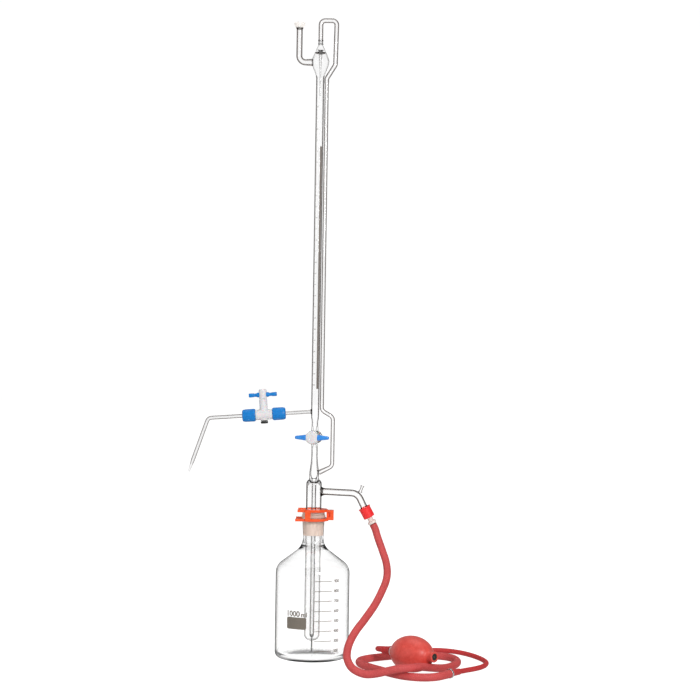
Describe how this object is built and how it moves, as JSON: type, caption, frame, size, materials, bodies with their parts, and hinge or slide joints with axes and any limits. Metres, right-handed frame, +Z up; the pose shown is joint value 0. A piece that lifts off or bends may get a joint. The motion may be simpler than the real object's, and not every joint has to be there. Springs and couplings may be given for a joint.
{
  "type": "automatic burette",
  "caption": "Self-zeroing glass burette on a reservoir bottle, with stopcocks, an overflow loop, a ground joint held by a clip, and a squeeze bulb on a rubber hose.",
  "frame": {"origin": "centre of the reservoir bottle's base, on the table", "axes": "+Z up along the burette; the delivery jet points to -X, the air inlet and hose are on the +X side, and the front with the drain handle and the scales faces -Y"},
  "size_m": [0.411, 0.2126, 0.8774],
  "materials": {
    "glass": "clear borosilicate, ground at the joint",
    "ptfe": "waxy white fluoropolymer",
    "blue_plastic": "moulded, slightly glossy",
    "orange_plastic": "moulded, glossy",
    "red_plastic": "moulded with fine ribs",
    "cream_plastic": "turned, matt",
    "seal_silicone": "soft seal",
    "black_rubber": "soft, matt",
    "hose_rubber": "red pressure hose, cloth-marked",
    "tube_rubber": "thin red tube, smooth",
    "bulb_rubber": "moulded bulb, satin",
    "bright_steel": "bright band and balls"
  },
  "bodies": {
    "reservoir": {"reservoir_bottle": "glass"},
    "clip": {"joint_clip": "orange_plastic"},
    "head": {"ground_cone": "glass", "guard_tube": "glass", "inner_tube": "glass", "dip_capillary": "glass", "feed_tube": "glass", "lower_tube": "glass", "burette_tube": "glass", "top_bulb": "glass", "filling_jet": "glass", "overflow_loop": "glass", "riser_tube": "glass", "bypass_tube": "glass", "vent_tube": "glass", "drain_barrel": "glass", "outlet_arm": "glass", "side_arm": "glass", "finger_vent": "glass", "cap_seal": "seal_silicone", "hose_connector": "cream_plastic", "pressure_hose": "hose_rubber", "hose_clamp": "bright_steel", "hose_reducer": "hose_rubber", "bulb_tube": "tube_rubber", "outlet_fitting": "bulb_rubber", "bulb_collar": "ptfe", "rubber_bulb": "bulb_rubber", "inlet_valve": "black_rubber", "outlet_valve": "black_rubber"},
    "drain_plug": {"drain_plug": "ptfe", "drain_handle_left": "blue_plastic", "drain_handle_right": "blue_plastic"},
    "drain_seals": {"drain_washer": "ptfe", "drain_oring": "black_rubber"},
    "drain_nut": {"drain_nut": "ptfe"},
    "outlet_stopcock": {"outlet_body": "ptfe"},
    "outlet_plug": {"outlet_plug": "ptfe", "outlet_handle_left": "blue_plastic", "outlet_handle_right": "blue_plastic"},
    "outlet_washer": {"outlet_washer": "black_rubber"},
    "outlet_plug_nut": {"outlet_plug_nut": "black_rubber"},
    "inner_ferrule": {"inner_ferrule": "ptfe"},
    "inner_tube_nut": {"inner_tube_nut": "blue_plastic"},
    "outer_ferrule": {"outer_ferrule": "ptfe"},
    "outer_tube_nut": {"outer_tube_nut": "blue_plastic"},
    "delivery_jet": {"delivery_jet": "glass"},
    "cap_washer": {"cap_washer": "ptfe"},
    "screw_cap": {"screw_cap": "red_plastic"},
    "inlet_ball": {"inlet_ball": "bright_steel"},
    "outlet_ball": {"outlet_ball": "bright_steel"}
  },
  "joints": [
    {"name": "head_swivel", "type": "hinge", "parent": "reservoir", "child": "head", "pos_m": [0, 0, 0.1936], "axis": [0, 0, 1], "continuous": true},
    {"name": "clip_turn", "type": "hinge", "parent": "reservoir", "child": "clip", "pos_m": [0, 0, 0.1936], "axis": [0, 0, 1], "continuous": true},
    {"name": "drain_plug_turn", "type": "hinge", "parent": "head", "child": "drain_plug", "pos_m": [0, 0, 0.2995], "axis": [-0.1908, -0.9816, 0], "continuous": true},
    {"name": "drain_seal_slide", "type": "slide", "parent": "drain_plug", "child": "drain_seals", "axis": [0.1908, 0.9816, 0], "range_m": [0, 0.00375]},
    {"name": "drain_nut_turn", "type": "hinge", "parent": "drain_seals", "child": "drain_nut", "pos_m": [0.00344, 0.01767, 0.2995], "axis": [0.1908, 0.9816, 0], "range_deg": [0, 540]},
    {"name": "outlet_swivel", "type": "hinge", "parent": "head", "child": "outlet_stopcock", "pos_m": [-0.0701, 0, 0.32963], "axis": [-0.9972, 0, -0.075], "continuous": true},
    {"name": "outlet_plug_turn", "type": "hinge", "parent": "outlet_stopcock", "child": "outlet_plug", "pos_m": [-0.0701, 0, 0.32963], "axis": [-0.075, 0, 0.9972], "continuous": true},
    {"name": "outlet_washer_slide", "type": "slide", "parent": "outlet_plug", "child": "outlet_washer", "axis": [0.075, 0, -0.9972], "range_m": [0, 0.0015]},
    {"name": "outlet_plug_nut_turn", "type": "hinge", "parent": "outlet_washer", "child": "outlet_plug_nut", "pos_m": [-0.06928, 0, 0.31866], "axis": [0.075, 0, -0.9972], "range_deg": [0, 360]},
    {"name": "inner_ferrule_slide", "type": "slide", "parent": "outlet_stopcock", "child": "inner_ferrule", "axis": [0.9972, 0, 0.075], "range_m": [0, 0.00375]},
    {"name": "inner_nut_turn", "type": "hinge", "parent": "inner_ferrule", "child": "inner_tube_nut", "pos_m": [-0.04936, 0, 0.33119], "axis": [0.9972, 0, 0.075], "range_deg": [0, 540]},
    {"name": "outer_ferrule_slide", "type": "slide", "parent": "outlet_stopcock", "child": "outer_ferrule", "axis": [-0.9972, 0, -0.075], "range_m": [0, 0.00375]},
    {"name": "outer_nut_turn", "type": "hinge", "parent": "outer_ferrule", "child": "outer_tube_nut", "pos_m": [-0.09074, 0, 0.32808], "axis": [-0.9972, 0, -0.075], "range_deg": [0, 540]},
    {"name": "delivery_jet_turn", "type": "hinge", "parent": "outlet_stopcock", "child": "delivery_jet", "pos_m": [-0.07638, 0, 0.32916], "axis": [-0.9972, 0, -0.075], "continuous": true},
    {"name": "cap_washer_slide", "type": "slide", "parent": "head", "child": "cap_washer", "axis": [0.4821, 0, -0.8761], "range_m": [0, 0.003]},
    {"name": "cap_turn", "type": "hinge", "parent": "cap_washer", "child": "screw_cap", "pos_m": [0.0692, 0, 0.2046], "axis": [0.4821, 0, -0.8761], "range_deg": [0, 360]},
    {"name": "inlet_ball_slide", "type": "slide", "parent": "head", "child": "inlet_ball", "axis": [-0.6799, 0.7319, -0.045], "range_m": [0, 0.0025]},
    {"name": "outlet_ball_slide", "type": "slide", "parent": "head", "child": "outlet_ball", "axis": [-0.6799, 0.7319, -0.045], "range_m": [0, 0.0025]}
  ],
  "couplings": [
    {"joint": "drain_nut_turn", "follows": "drain_seal_slide", "rad_per_m": 2513.2},
    {"joint": "outlet_plug_nut_turn", "follows": "outlet_washer_slide", "rad_per_m": 4188.7},
    {"joint": "inner_nut_turn", "follows": "inner_ferrule_slide", "rad_per_m": 2513.2},
    {"joint": "outer_nut_turn", "follows": "outer_ferrule_slide", "rad_per_m": 2513.2},
    {"joint": "cap_turn", "follows": "cap_washer_slide", "rad_per_m": 2094.3}
  ]
}
